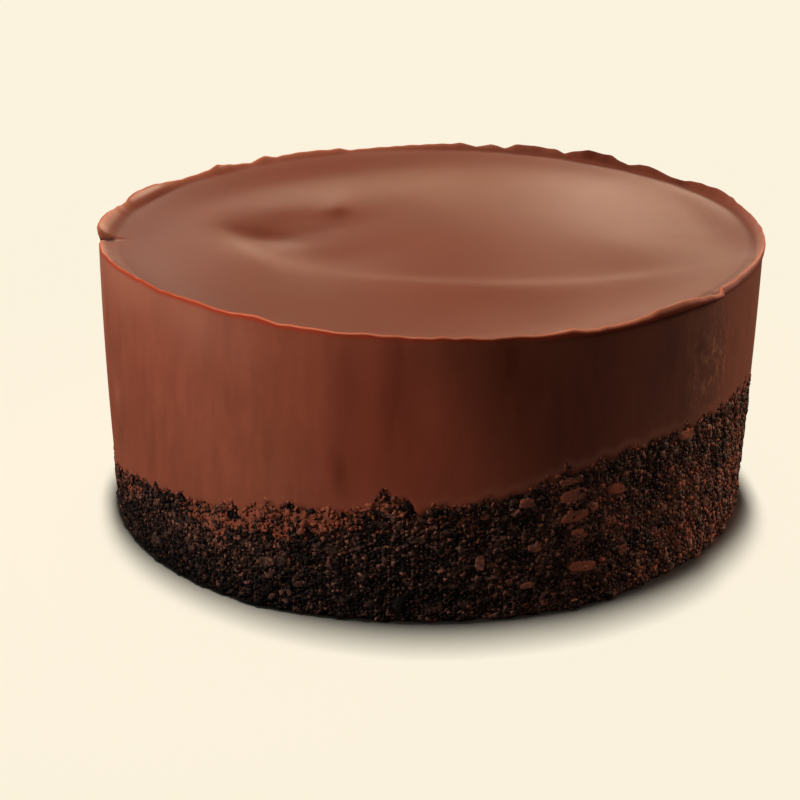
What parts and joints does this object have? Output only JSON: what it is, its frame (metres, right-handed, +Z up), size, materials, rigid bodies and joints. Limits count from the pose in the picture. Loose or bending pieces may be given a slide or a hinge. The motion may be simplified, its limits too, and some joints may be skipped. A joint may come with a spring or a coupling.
{
  "type": "chocolate cake",
  "caption": "Round single-serving chocolate cake: a dark crumb base under a smooth poured filling, with a thin raised scalloped lip round its top.",
  "frame": {"origin": "centre of the cake's flat underside", "axes": "+Z up through the cake, -Y towards the front that the picture shows, +X to its right"},
  "size_m": [0.0817, 0.0803, 0.0347],
  "materials": {
    "crumb": "rough",
    "filling": "satin"
  },
  "bodies": {
    "root": {"crumb_base": "crumb", "chocolate_filling": "filling"}
  },
  "joints": []
}
